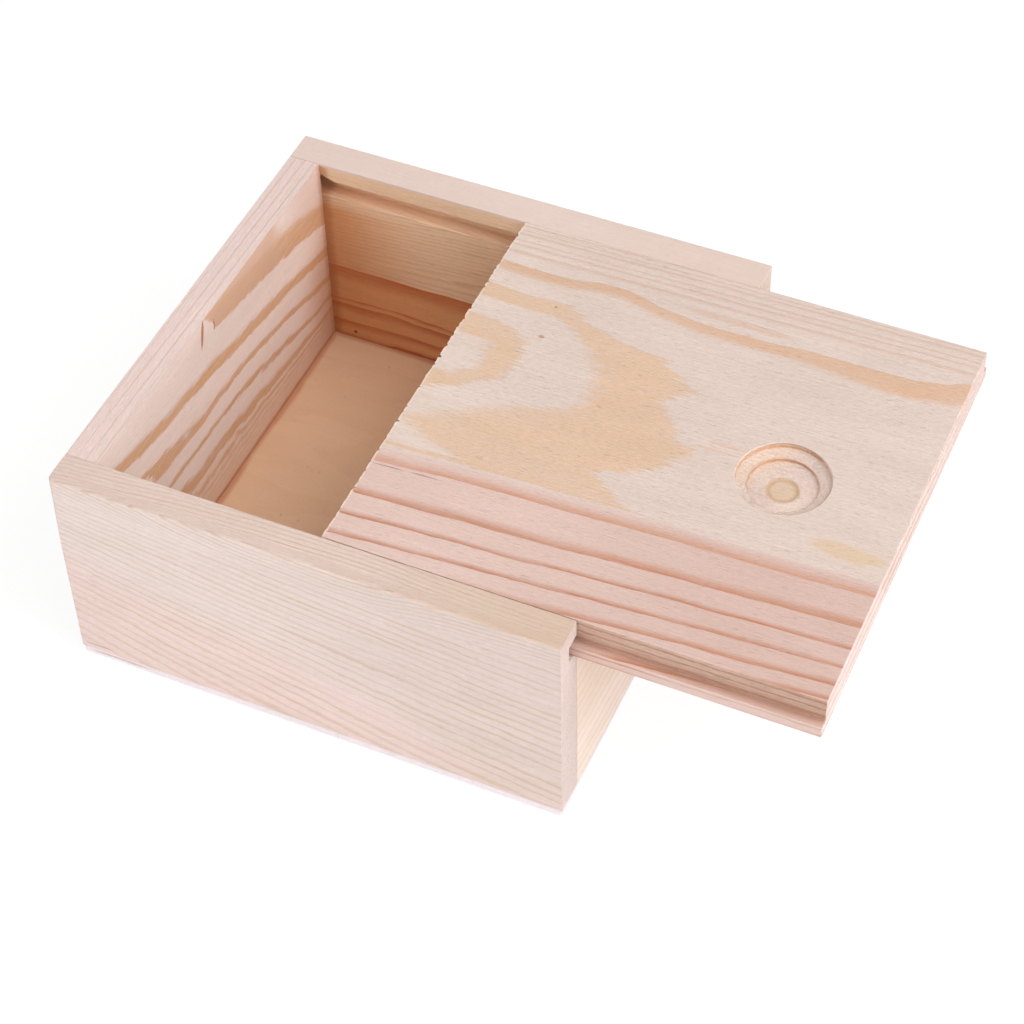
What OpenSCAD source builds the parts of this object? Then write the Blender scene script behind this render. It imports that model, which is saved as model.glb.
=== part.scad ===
// Wooden box with a sliding lid.
//
// Two side boards run the full length. A tall end board and a low end board stand between them,
// and a thin bottom sheet closes the underside. Both side boards have a groove along the inside,
// just under the top edge. The lid has a tongue along each long edge, and the tongues run in the
// grooves, so the lid slides out over the low end board. A round stepped recess gives the finger
// its hold.
//
// The origin is the centre of the underside. X runs along the slide, towards the open end,
// Y runs across the box and Z points up.

/* [Box] */
// Outer length, along the slide
box_length = 115; // [60:1:400]
// Outer width, across both side boards
box_width = 118; // [60:1:400]
// Outer height, from the underside to the top of the side boards
box_height = 56; // [35:1:200]

/* [Boards] */
// Thickness of the side boards
side_thickness = 8; // [6:0.5:16]
// Thickness of the end boards
end_thickness = 7.5; // [5:0.5:16]
// Thickness of the bottom sheet
bottom_thickness = 2.5; // [1.5:0.5:6]
// How far the bottom sheet stays back from the outer faces of the boards
bottom_inset = 0.4; // [0:0.1:2]

/* [Lid] */
// Thickness of the lid board
lid_thickness = 9; // [7:0.5:16]
// Thickness of the tongues along the lid's long edges
tongue_thickness = 3; // [2:0.25:4]
// How far each tongue stands out from the edge of the lid
tongue_reach = 2.4; // [1.5:0.1:3.5]
// How far the lid is drawn out from its closed place
lid_drawn_out = 51.5; // [0:0.5:100]

/* [Lid clearances] */
// Gap between the edge of the lid and the lip of each side board
lid_side_gap = 0.6; // [0.2:0.1:1.2]
// Gap between a tongue and the wall at the back of its groove
tongue_side_gap = 2; // [0.3:0.1:2.5]
// Gap between the top of a tongue and the roof of its groove
tongue_headroom = 1.6; // [0.3:0.1:2]
// Gap between the underside of the lid and the top of the low end board
low_end_gap = 0.3; // [0.1:0.1:1]
// Gap between the closed lid and the open end, so that the lid closes flush with it
lid_end_gap = 0; // [0:0.1:2]

/* [Finger recess] */
// Diameter of the recess at the top face of the lid
recess_diameter = 19.8; // [16:0.1:30]
// Distance from the outer end of the lid to the centre of the recess
recess_end_distance = 27.4; // [18:0.1:32]
// Depth of the straight outer wall
recess_wall_depth = 1.2; // [0.5:0.1:1.5]
// Diameter of the inner step
step_diameter = 14.9; // [10:0.1:15.5]
// Depth of the edge of the inner step
step_depth = 1.9; // [1.6:0.1:2.5]
// Height of the straight wall of the inner step
step_wall_height = 0.9; // [0.3:0.1:1]
// Diameter of the flat centre
centre_diameter = 6.8; // [3:0.1:8]
// Depth of the flat centre
centre_depth = 3.8; // [3.6:0.1:5]
// Height of the small rim around the flat centre
centre_rim_height = 0.25; // [0.1:0.05:0.3]

/* [Bottom pins] */
// Diameter of the headless pins that hold the bottom sheet
pin_diameter = 1.2; // [0.8:0.1:2]
// Length of a pin
pin_length = 15; // [8:0.5:20]
// How far a pin is driven in below the face of the bottom sheet
pin_set_in = 0.3; // [0.1:0.1:0.8]
// Distance of the outer pins of a side board from the ends of the box
side_pin_end_distance = 13; // [12:0.5:20]
// Distance of the pins of an end board from the outer faces of the side boards
end_pin_side_distance = 34; // [20:0.5:50]

/* [Hidden] */

$fn = 96;

// How far a cut runs past the face that it opens
overcut = 1;

// Places along X
tall_end_x = -box_length / 2;
open_end_x = box_length / 2;
tall_end_inner_x = tall_end_x + end_thickness;
low_end_inner_x = open_end_x - end_thickness;

// Width and height between the boards
inner_width = box_width - 2 * side_thickness;
side_height = box_height - bottom_thickness;

// The lid lies on the floors of the grooves, with its top level with the side boards
groove_floor_z = box_height - lid_thickness;
groove_height = tongue_thickness + tongue_headroom;
groove_depth = tongue_reach + tongue_side_gap - lid_side_gap;
low_end_top_z = groove_floor_z - low_end_gap;

// The lid fills the length between the tall end board and the open end
lid_length = box_length - end_thickness - lid_end_gap;
lid_width = inner_width - 2 * lid_side_gap;
tongued_width = lid_width + 2 * tongue_reach;
lid_inner_end_x = tall_end_inner_x + lid_drawn_out;
recess_x = lid_inner_end_x + lid_length - recess_end_distance;

// Places of the pins
side_pin_x = box_length / 2 - side_pin_end_distance;
side_pin_y = box_width / 2 - side_thickness / 2;
end_pin_x = box_length / 2 - end_thickness / 2;
end_pin_y = box_width / 2 - end_pin_side_distance;
pin_places = concat(
    [for (x = [-side_pin_x, 0, side_pin_x], y = [-side_pin_y, side_pin_y]) [x, y]],
    [for (x = [-end_pin_x, end_pin_x], y = [-end_pin_y, end_pin_y]) [x, y]]
);

// Colours of the woods and the pins
front_wood = [0.91, 0.81, 0.72];
rear_wood = [0.86, 0.71, 0.57];
end_wood = [0.90, 0.77, 0.66];
low_end_wood = [0.94, 0.82, 0.71];
bottom_wood = [0.83, 0.68, 0.53];
lid_wood = [0.92, 0.80, 0.74];
pin_steel = [0.60, 0.60, 0.62];

// A row of pins, or of the holes that they fill
module at_pin_places() {
    for (place = pin_places)
        translate([place[0], place[1], pin_set_in]) children();
}

module pin() {
    cylinder(d = pin_diameter, h = pin_length);
}

// A hole that is open at the underside and ends at the tip of its pin
module pin_hole() {
    translate([0, 0, -pin_set_in - overcut])
        cylinder(d = pin_diameter, h = pin_length + pin_set_in + overcut);
}

// Section of a side board, with its outer face on the left and its groove on the right
module side_board_section() {
    difference() {
        square([side_thickness, side_height]);
        translate([side_thickness - groove_depth, groove_floor_z - bottom_thickness])
            square([groove_depth + overcut, groove_height]);
    }
}

// A side board on the -Y side, standing on the bottom sheet
module side_board() {
    difference() {
        translate([tall_end_x, -box_width / 2, bottom_thickness])
            rotate([90, 0, 90])
                linear_extrude(height = box_length) side_board_section();
        at_pin_places() pin_hole();
    }
}

// An end board between the side boards, from its outer face at x, up to top_z
module end_board(x, top_z) {
    difference() {
        translate([x, -inner_width / 2, bottom_thickness])
            cube([end_thickness, inner_width, top_z - bottom_thickness]);
        at_pin_places() pin_hole();
    }
}

module front_side_board() {
    color(front_wood) side_board();
}

module rear_side_board() {
    color(rear_wood) mirror([0, 1, 0]) side_board();
}

module tall_end_board() {
    color(end_wood) end_board(tall_end_x, box_height);
}

module low_end_board() {
    color(low_end_wood) end_board(low_end_inner_x, low_end_top_z);
}

module bottom_panel() {
    sheet = [box_length - 2 * bottom_inset, box_width - 2 * bottom_inset, bottom_thickness];
    color(bottom_wood)
        difference() {
            translate([-sheet[0] / 2, -sheet[1] / 2, 0]) cube(sheet);
            at_pin_places() pin_hole();
        }
}

module bottom_pins() {
    color(pin_steel) at_pin_places() pin();
}

// Stepped round recess, cut down from the top face of the lid at z = 0
module finger_recess() {
    rotate_extrude()
        polygon([
            [0, overcut],
            [recess_diameter / 2, overcut],
            [recess_diameter / 2, -recess_wall_depth],
            [step_diameter / 2, -step_depth],
            [step_diameter / 2, -step_depth - step_wall_height],
            [centre_diameter / 2, -centre_depth + centre_rim_height],
            [centre_diameter / 2, -centre_depth],
            [0, -centre_depth]
        ]);
}

module sliding_lid() {
    color(lid_wood)
        difference() {
            translate([lid_inner_end_x, 0, groove_floor_z])
                union() {
                    translate([0, -lid_width / 2, 0])
                        cube([lid_length, lid_width, lid_thickness]);
                    translate([0, -tongued_width / 2, 0])
                        cube([lid_length, tongued_width, tongue_thickness]);
                }
            translate([recess_x, 0, groove_floor_z + lid_thickness]) finger_recess();
        }
}

front_side_board();
rear_side_board();
tall_end_board();
low_end_board();
bottom_panel();
bottom_pins();
sliding_lid();
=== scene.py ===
import math

import bmesh
import bpy
from mathutils import Matrix, Vector, noise


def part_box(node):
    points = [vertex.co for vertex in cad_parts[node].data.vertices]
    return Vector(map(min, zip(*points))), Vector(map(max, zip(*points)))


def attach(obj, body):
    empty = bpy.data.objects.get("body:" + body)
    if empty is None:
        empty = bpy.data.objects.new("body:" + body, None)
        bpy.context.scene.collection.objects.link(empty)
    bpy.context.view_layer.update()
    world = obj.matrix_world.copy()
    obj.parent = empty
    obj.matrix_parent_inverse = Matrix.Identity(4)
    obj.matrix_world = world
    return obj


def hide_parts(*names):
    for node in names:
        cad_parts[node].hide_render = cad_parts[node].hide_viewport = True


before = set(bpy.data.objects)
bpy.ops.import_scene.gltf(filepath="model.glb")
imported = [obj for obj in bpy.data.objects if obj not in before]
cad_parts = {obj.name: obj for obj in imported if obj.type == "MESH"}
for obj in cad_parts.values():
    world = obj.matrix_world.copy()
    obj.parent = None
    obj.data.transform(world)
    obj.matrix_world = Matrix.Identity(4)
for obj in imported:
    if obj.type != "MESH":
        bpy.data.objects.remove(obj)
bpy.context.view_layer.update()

# A small box of unfinished pine with a sliding lid. Every board is modelled by itself, with eased
# edges, saw marks and small chips, and its growth rings are a solid figure in the wood, so that
# the faces, the edges and the end grain of a board agree.

MM = 0.001
noise.seed_set(1)            # noise_vector starts from the clock without it

# ---------------------------------------------------------------- sizes, in millimetres

LIP_THICKNESS = 4.4          # of each side board, above its groove
GROOVE_HEIGHT = 4.6
GROOVE_DEPTH = 3.8
TONGUE_THICKNESS = 3.0
TONGUE_REACH = 2.4
LID_WIDER_BEHIND = 0.56      # the lid's upper part lies close to the side boards
LID_WIDER_IN_FRONT = 0.45
LID_CLEAR_BELOW = 0.03       # its tongues stand this far off the floors of the grooves
LID_TOP_EDGE_EASING = 0.2
BOARD_EASING = 0.35
FINE_EASING = 0.15           # of the edges that are all but sharp
END_BOARD_EASING = 0.12
END_BOARD_SETTLED = 0.04     # the tall end lies a hair lower than the side boards
SHEET_EASING = 0.2
WORN_CORNER = 1.5            # the front corner at the tall end is worn round, less and less
WORN_DOWN_TO = 20.0          # down to here, where this share of the round is left
WORN_LEAST = 0.3
CUTS_APART = 4.0             # cuts across a board, where its faces can waver
SIDE_WAVER = 0.12
END_WAVER = 0.1
WAVER_SIZE = 5.0
CHIP_LENGTH = 3.4            # chip off the rear board's lip, beside the tall end
CHIP_HEIGHT = 1.4

RECESS_FROM_OUTER_END = 27.4
RECESS_RADIUS = 9.9
RECESS_WALL = 1.2
STEP_RADIUS = 7.45
STEP_DEPTH = 1.9
STEP_WALL = 0.9
CENTRE_RADIUS = 3.4
CENTRE_DEPTH = 3.8
CENTRE_RIM = 0.25
RECESS_RIM = 0.25

SAWN_STRIP = 1.6             # length of lid at the inner end that the saw left rough
SAWN_PITCH = 0.35            # of the fine cuts through that strip, across and down
SAWN_DOWN_PITCH = 0.9
SAW_MARKS = 0.32
SAW_FUZZ = 0.22
SAW_TEARS = 1.1

HAIR = 0.01                  # places closer than this count as the same


def node_box(name):
    """Lowest and highest corners of a node, in millimetres."""
    low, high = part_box(name)
    return low / MM, high / MM


FRONT_LOW, FRONT_HIGH = node_box("front_side_board")
REAR_LOW, REAR_HIGH = node_box("rear_side_board")
TALL_HIGH = node_box("tall_end_board")[1]
LOW_HIGH = node_box("low_end_board")[1]
SHEET_LOW, SHEET_HIGH = node_box("bottom_panel")
LID_LOW, LID_HIGH = node_box("sliding_lid")
BOX_TOP = FRONT_HIGH.z
SIDE_THICKNESS = FRONT_HIGH.y - FRONT_LOW.y

# ---------------------------------------------------------------- making meshes


def add_object(name, data):
    thing = bpy.data.objects.new(name, data)
    bpy.context.scene.collection.objects.link(thing)
    return thing


def add_mesh(name, bm):
    """Turns a bmesh into an object of the scene."""
    mesh = bpy.data.meshes.new(name)
    bm.to_mesh(mesh)
    bm.free()
    return add_object(name, mesh)


def add_piece(name, bm, material, body, node):
    """Turns a bmesh, in millimetres, into a piece that rides on a body and stands for a node."""
    bmesh.ops.scale(bm, vec=(MM, MM, MM), verts=bm.verts)
    piece = add_mesh(name, bm)
    piece.data.materials.append(material)
    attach(piece, body)
    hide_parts(node)
    return piece


def drawn_out(outline, start, end):
    """A solid with this outline in the YZ plane, drawn out along X from start to end."""
    bm = bmesh.new()
    face = bm.faces.new([bm.verts.new((start, y, z)) for y, z in outline])
    grown = bmesh.ops.extrude_face_region(bm, geom=[face])["geom"]
    far_verts = [v for v in grown if isinstance(v, bmesh.types.BMVert)]
    bmesh.ops.translate(bm, verts=far_verts, vec=(end - start, 0, 0))
    bmesh.ops.recalc_face_normals(bm, faces=bm.faces)
    return bm


def block(low, high):
    """A plain block between two corners."""
    outline = [(low.y, low.z), (high.y, low.z), (high.y, high.z), (low.y, high.z)]
    return drawn_out(outline, low.x, high.x)


def ease(bm, width, wanted=lambda low, high: True, segments=2):
    """Rounds the sharp edges that are wanted, told by their lowest and highest corners."""
    sharp = []
    for edge in bm.edges:
        a, b = (v.co for v in edge.verts)
        low = Vector(map(min, a, b))
        high = Vector(map(max, a, b))
        if len(edge.link_faces) == 2 and edge.calc_face_angle() > 0.6 and wanted(low, high):
            sharp.append(edge)
    bmesh.ops.bevel(bm, geom=sharp, offset=width, affect="EDGES", segments=segments,
                    profile=0.5, material=-1, clamp_overlap=True)


def cut_across(bm, axis, places):
    """Cuts the mesh at each place along an axis, without opening it."""
    direction = Vector([i == axis for i in range(3)])
    for place in places:
        geom = bm.verts[:] + bm.edges[:] + bm.faces[:]
        bmesh.ops.bisect_plane(bm, geom=geom, dist=1e-5, plane_co=direction * place, plane_no=direction)


def steps(start, end, pitch):
    """Evenly spaced places between start and end, about a pitch apart."""
    count = max(1, round((end - start) / pitch))
    return [start + (end - start) * i / count for i in range(1, count)]


def roughen(bm, low, high, amount, seed):
    """Moves the corners of a board by up to amount, always towards the inside of its block."""
    middle = (low + high) / 2
    for v in bm.verts:
        shift = noise.noise_vector(v.co / WAVER_SIZE + Vector((seed, 0, 0)))
        for i in range(3):
            near_face = min(abs(v.co[i] - low[i]), abs(v.co[i] - high[i])) < 0.02
            if near_face:
                v.co[i] += math.copysign(amount * abs(shift[i]), middle[i] - v.co[i])


def splinter(bm, root, tip, width):
    """A torn fibre: a thin three-sided spike with its foot in the wood."""
    along = Vector(tip) - Vector(root)
    turned = along.to_track_quat("Z", "Y").to_matrix().to_4x4()
    place = Matrix.Translation((Vector(root) + Vector(tip)) / 2) @ turned
    bmesh.ops.create_cone(bm, cap_ends=True, segments=3, radius1=width / 2, radius2=width / 14,
                          depth=along.length, matrix=place)


def spun(profile, centre, segments=96):
    """A solid of revolution about Z, from its profile of (radius, height) points."""
    bm = bmesh.new()
    verts = [bm.verts.new((r, 0, z)) for r, z in profile]
    edges = [bm.edges.new(pair) for pair in zip(verts, verts[1:])]
    bmesh.ops.spin(bm, geom=verts + edges, cent=(0, 0, 0), axis=(0, 0, 1), angle=math.tau,
                   steps=segments, use_merge=True)
    bmesh.ops.remove_doubles(bm, verts=bm.verts, dist=1e-4)
    bmesh.ops.recalc_face_normals(bm, faces=bm.faces)
    bmesh.ops.translate(bm, verts=bm.verts, vec=centre)
    return bm


def cut_out(bm, cutter):
    """Takes the cutter's volume out of the mesh, and gives the mesh that is left."""
    blank = add_mesh("blank", bm)
    tool = add_mesh("cutter", cutter)
    boolean = blank.modifiers.new("cut", "BOOLEAN")
    boolean.operation = "DIFFERENCE"
    boolean.solver = "EXACT"
    boolean.object = tool
    bpy.context.view_layer.update()
    result = bmesh.new()
    result.from_object(blank, bpy.context.evaluated_depsgraph_get())
    for thing in (blank, tool):
        mesh = thing.data
        bpy.data.objects.remove(thing)
        bpy.data.meshes.remove(mesh)
    return result


# ---------------------------------------------------------------- wiring shader nodes


def colour(red, green, blue):
    """A colour as a screen shows it, 0 to 255, as the shader wants it."""
    def linear(value):
        value /= 255
        return value / 12.92 if value <= 0.04045 else ((value + 0.055) / 1.055) ** 2.4
    return (linear(red), linear(green), linear(blue), 1)


class Wiring:
    """Adds nodes to a tree. Each value is a number, a colour or the output of another node."""

    def __init__(self, tree):
        self.tree = tree

    def add(self, kind, **settings):
        node = self.tree.nodes.new(kind)
        for key, value in settings.items():
            setattr(node, key, value)
        return node

    def feed(self, socket, value):
        if isinstance(value, bpy.types.NodeSocket):
            self.tree.links.new(value, socket)
        else:
            socket.default_value = value

    def fill(self, node, settings):
        for label, value in settings.items():
            self.feed(node.inputs[label], value)

    def made(self, kind, *values, **settings):
        """Adds a node, feeds its inputs in their order, and gives its first output."""
        node = self.add(kind, **settings)
        for socket, value in zip(node.inputs, values):
            self.feed(socket, value)
        return node.outputs[0]

    def math(self, operation, *values, clamp=False):
        return self.made("ShaderNodeMath", *values, operation=operation, use_clamp=clamp)

    def in_turn(self, operation, values):
        total = values[0]
        for value in values[1:]:
            total = self.math(operation, total, value)
        return total

    def sum(self, *values):
        return self.in_turn("ADD", values)

    def times(self, *values):
        return self.in_turn("MULTIPLY", values)

    def minus(self, first, second):
        return self.math("SUBTRACT", first, second)

    def inverse(self, mask):
        return self.minus(1.0, mask)

    def apart(self, first, second):
        return self.math("ABSOLUTE", self.minus(first, second))

    def distance(self, x, y):
        return self.math("SQRT", self.sum(self.times(x, x), self.times(y, y)))

    def most(self, first, second):
        return self.math("MAXIMUM", first, second)

    def least(self, first, second):
        return self.math("MINIMUM", first, second)

    def line(self, value, slope, start, clamp=False):
        """A straight line: the value times a slope, plus where it starts."""
        return self.math("MULTIPLY_ADD", value, slope, start, clamp=clamp)

    def vector(self, x, y, z):
        return self.made("ShaderNodeCombineXYZ", x, y, z)

    def split(self, vector):
        node = self.add("ShaderNodeSeparateXYZ")
        self.feed(node.inputs[0], vector)
        return node.outputs

    def scaled(self, vector, x, y, z):
        return self.made("ShaderNodeVectorMath", vector, (x, y, z), operation="MULTIPLY")

    def noise(self, place, detail=2.0, roughness=0.5):
        """Smooth noise about 0, mostly between -0.5 and 0.5."""
        node = self.add("ShaderNodeTexNoise", noise_dimensions="3D")
        self.fill(node, {"Vector": place, "Scale": 1.0, "Detail": detail, "Roughness": roughness})
        return self.minus(node.outputs["Fac"], 0.5)

    def drift(self, *places, detail=2.0, roughness=0.5):
        """Noise that changes along each place over about the size given after it."""
        parts = [self.times(place, 1 / size) for place, size in zip(places[::2], places[1::2])]
        return self.noise(self.vector(*parts, *[0.0] * (3 - len(parts))), detail, roughness)

    def ramp(self, value, start, end, low=0.0, high=1.0):
        """Goes smoothly from low to high as the value goes from start to end."""
        return self.made("ShaderNodeMapRange", value, start, end, low, high,
                         interpolation_type="SMOOTHSTEP")

    def fall(self, value, start, end):
        """Goes smoothly from 1 to 0 as the value goes from start to end."""
        return self.ramp(value, start, end, 1.0, 0.0)

    def curve(self, value, points, smooth=False):
        """Follows the points, each (value in, value out), from the first to the last."""
        start, end = points[0][0], points[-1][0]
        low = min(p[1] for p in points)
        high = max(p[1] for p in points)
        share = self.math("DIVIDE", self.minus(value, start), end - start, clamp=True)
        node = self.add("ShaderNodeFloatCurve")
        line = node.mapping.curves[0]
        for place, height in points:
            at = ((place - start) / (end - start), (height - low) / (high - low))
            if place in (start, end):
                line.points[0 if place == start else -1].location = at
            else:
                line.points.new(*at)
        for point in line.points:
            point.handle_type = "AUTO" if smooth else "VECTOR"
        node.mapping.update()
        self.feed(node.inputs["Value"], share)
        return self.line(node.outputs[0], high - low, low)

    def mix(self, factor, first, second, blend="MIX"):
        node = self.add("ShaderNodeMix", data_type="RGBA", blend_type=blend)
        self.fill(node, {"Factor": factor, "A": first, "B": second})
        return node.outputs["Result"]


def new_group(name, takes, gives):
    """A node group with named inputs and outputs, each (name, socket type, starting value)."""
    tree = bpy.data.node_groups.new(name, "ShaderNodeTree")
    for in_out, sockets in (("INPUT", takes), ("OUTPUT", gives)):
        for label, kind, *start in sockets:
            socket = tree.interface.new_socket(label, in_out=in_out, socket_type=kind)
            if start:
                socket.default_value = start[0]
    wiring = Wiring(tree)
    inside = wiring.add("NodeGroupInput")
    outside = wiring.add("NodeGroupOutput")
    return tree, wiring, inside.outputs, outside.inputs


FLOAT, VECTOR, COLOUR = "NodeSocketFloat", "NodeSocketVector", "NodeSocketColor"


def make_pine_grain():
    """Turns a place in the wood and its growth-ring number into colour, roughness and height.

    The place is in millimetres, with the fibres along X. The part of the ring number after the
    point says where in the year's growth a place is: pale early wood, then darker late wood that
    ends sharply where the next year starts."""
    tree, w, given, made = new_group(
        "Pine grain",
        [("Place", VECTOR), ("Ring", FLOAT), ("Early wood", COLOUR), ("Late wood", COLOUR),
         ("Late start", FLOAT, 0.45), ("Late full", FLOAT, 0.7), ("Strength", FLOAT, 1.0),
         ("End grain", FLOAT, 0.0), ("Raggedness", FLOAT, 1.0)],
        [("Colour", COLOUR), ("Roughness", FLOAT), ("Height", FLOAT)])
    place = given["Place"]
    year = w.math("FRACT", given["Ring"])
    late = w.times(w.ramp(year, given["Late start"], given["Late full"]),
                   w.fall(year, 0.98, 1.0))
    streak = w.noise(w.scaled(place, 1 / 13, 1 / 0.55, 1 / 0.55), detail=3, roughness=0.7)
    fibre = w.noise(w.scaled(place, 1 / 1.6, 1 / 0.28, 1 / 0.28), detail=2, roughness=0.7)
    cloud = w.noise(w.scaled(place, 1 / 32, 1 / 7, 1 / 7), detail=3)
    canals = w.noise(w.scaled(place, 1 / 2.4, 1 / 0.2, 1 / 0.2), detail=0)
    canal = w.ramp(canals, 0.25, 0.33)
    pores = w.noise(w.scaled(place, 1 / 0.9, 1 / 0.4, 1 / 0.4), detail=1)

    amount = w.times(late, w.line(streak, 1.7, 0.86, clamp=True))
    wood = w.mix(w.times(amount, given["Strength"]), given["Early wood"], given["Late wood"])
    uneven = w.sum(w.times(streak, 0.2), w.times(fibre, 0.28), w.times(cloud, 0.14))
    shade = w.line(uneven, given["Raggedness"], 1.0)
    shade = w.minus(shade, w.times(canal, 0.06))
    shade = w.minus(shade, w.times(given["End grain"], w.ramp(pores, 0.02, 0.16, 0.0, 0.13)))
    grey = w.vector(w.line(shade, 0.8, 0.2), shade,
                    w.line(shade, 1.25, -0.25))
    w.feed(made["Colour"], w.mix(1.0, wood, grey, "MULTIPLY"))
    w.feed(made["Roughness"], w.sum(0.62, w.times(fibre, 0.3), w.times(late, -0.06)))
    height = w.sum(w.times(late, 0.02), w.times(streak, 0.1), w.times(fibre, 0.11),
                   w.times(canal, -0.04))
    w.feed(made["Height"], w.times(height, given["Raggedness"]))
    return tree


PINE_GRAIN = make_pine_grain()


def new_material(name):
    material = bpy.data.materials.new(name)
    material.use_nodes = True
    return material, Wiring(material.node_tree), material.node_tree.nodes["Principled BSDF"]


def wood_material(name, figure, bump=1.0):
    """A material of solid wood. The figure is a function that wires the growth rings of a board:
    it gets the wiring and the place in millimetres, and gives the pine grain's inputs."""
    material, w, shader = new_material(name)
    coordinates = w.add("ShaderNodeTexCoord")
    place = w.scaled(coordinates.outputs["Object"], 1 / MM, 1 / MM, 1 / MM)
    grain = w.add("ShaderNodeGroup", node_tree=PINE_GRAIN)
    settings = figure(w, *w.split(place))
    marks = settings.pop("Marks", [])
    w.fill(grain, settings)
    wood = grain.outputs["Colour"]
    for mask, strength, tint in marks:
        wood = w.mix(w.times(mask, strength), wood, tint)
    relief = w.add("ShaderNodeBump")
    w.fill(relief, {"Strength": bump, "Distance": MM, "Height": grain.outputs["Height"]})
    w.fill(shader, {"Base Color": wood, "Roughness": grain.outputs["Roughness"],
                    "Specular IOR Level": 0.3, "Normal": relief.outputs["Normal"]})
    return material


def facing(w, axis):
    """How much a face looks along an axis, from 0 to 1."""
    normal = w.split(w.add("ShaderNodeTexCoord").outputs["Normal"])
    return w.ramp(w.math("ABSOLUTE", normal[axis]), 0.6, 0.9)


def spot(w, x, y, centre, half_width, half_length):
    """A soft oval mark on a face."""
    across = w.math("DIVIDE", w.minus(x, centre[0]), half_length)
    up = w.math("DIVIDE", w.minus(y, centre[1]), half_width)
    return w.fall(w.distance(across, up), 0.7, 1.1)


# ---------------------------------------------------------------- the boards' growth rings

# Places and lengths here are in millimetres along, across and into each board. A mark is where it
# shows, how strongly, and its colour.


def streaky(w, along, across, depth):
    """Torn edges of late wood: noise drawn out along the fibres, coarse and fine."""
    coarse = w.drift(along, 14, across, 0.9, depth, 1 / 0.3, detail=3, roughness=0.75)
    fine = w.drift(along, 9, across, 0.3, depth, 1, detail=1)
    return coarse, fine


def share(w, value, start, end):
    """How far a value is from start to end, from 0 to 1."""
    return w.math("DIVIDE", w.minus(value, start), w.minus(end, start), clamp=True)


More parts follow.
